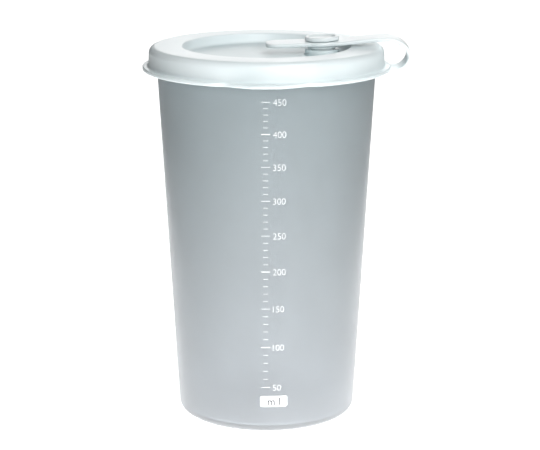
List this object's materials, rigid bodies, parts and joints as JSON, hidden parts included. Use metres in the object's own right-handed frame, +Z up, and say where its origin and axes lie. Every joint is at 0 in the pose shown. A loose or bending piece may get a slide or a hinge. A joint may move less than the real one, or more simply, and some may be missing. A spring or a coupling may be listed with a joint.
{
  "type": "lidded beaker",
  "caption": "Tapered translucent beaker with a graduated scale, a press-on lid and a pouring spout closed by a stopper on a looped strap.",
  "frame": {"origin": "middle of the beaker's flat underside", "axes": "+Z up along the beaker's axis, +X towards the strap's loop, -Y towards the lid's lift tab and the printed scale"},
  "size_m": [0.0963, 0.0911, 0.1388],
  "materials": {
    "beaker": "frosted translucent polypropylene, faintly blue-grey",
    "lid": "soft white polyethylene, semi-gloss",
    "strap": "soft white polyethylene, semi-gloss, thin and flexible",
    "stopper": "soft white polyethylene, semi-gloss"
  },
  "bodies": {
    "beaker": {"beaker": "beaker"},
    "lid": {"lid": "lid"},
    "strap_1": {"strap_link_1": "strap"},
    "strap_2": {"strap_link_2": "strap"},
    "strap_3": {"strap_link_3": "strap"},
    "strap_4": {"strap_link_4": "strap"},
    "strap_5": {"strap_link_5": "strap"},
    "closure": {"strap_end": "strap", "stopper": "stopper"}
  },
  "joints": [
    {"name": "lid_lift", "type": "slide", "parent": "beaker", "child": "lid", "axis": [0, 0, 1], "range_m": [0, 0.05]},
    {"name": "strap_bend_1", "type": "hinge", "parent": "lid", "child": "strap_1", "pos_m": [0.04716, 0, 0.12647], "axis": [0, 1, 0], "range_deg": [0, 30]},
    {"name": "strap_bend_2", "type": "hinge", "parent": "strap_1", "child": "strap_2", "pos_m": [0.05003, 0, 0.12812], "axis": [0, 1, 0], "range_deg": [0, 30]},
    {"name": "strap_bend_3", "type": "hinge", "parent": "strap_2", "child": "strap_3", "pos_m": [0.05159, 0, 0.13073], "axis": [0, 1, 0], "range_deg": [0, 30]},
    {"name": "strap_bend_4", "type": "hinge", "parent": "strap_3", "child": "strap_4", "pos_m": [0.05159, 0, 0.13322], "axis": [0, 1, 0], "range_deg": [0, 30]},
    {"name": "strap_bend_5", "type": "hinge", "parent": "strap_4", "child": "strap_5", "pos_m": [0.04995, 0, 0.13582], "axis": [0, 1, 0], "range_deg": [0, 30]},
    {"name": "strap_unroll", "type": "hinge", "parent": "strap_5", "child": "closure", "pos_m": [0.04557, 0, 0.13834], "axis": [0, 1, 0], "range_deg": [0, 30]}
  ],
  "couplings": [
    {"joint": "strap_bend_1", "follows": "strap_unroll", "ratio": 1},
    {"joint": "strap_bend_2", "follows": "strap_unroll", "ratio": 1},
    {"joint": "strap_bend_3", "follows": "strap_unroll", "ratio": 1},
    {"joint": "strap_bend_4", "follows": "strap_unroll", "ratio": 1},
    {"joint": "strap_bend_5", "follows": "strap_unroll", "ratio": 1}
  ]
}
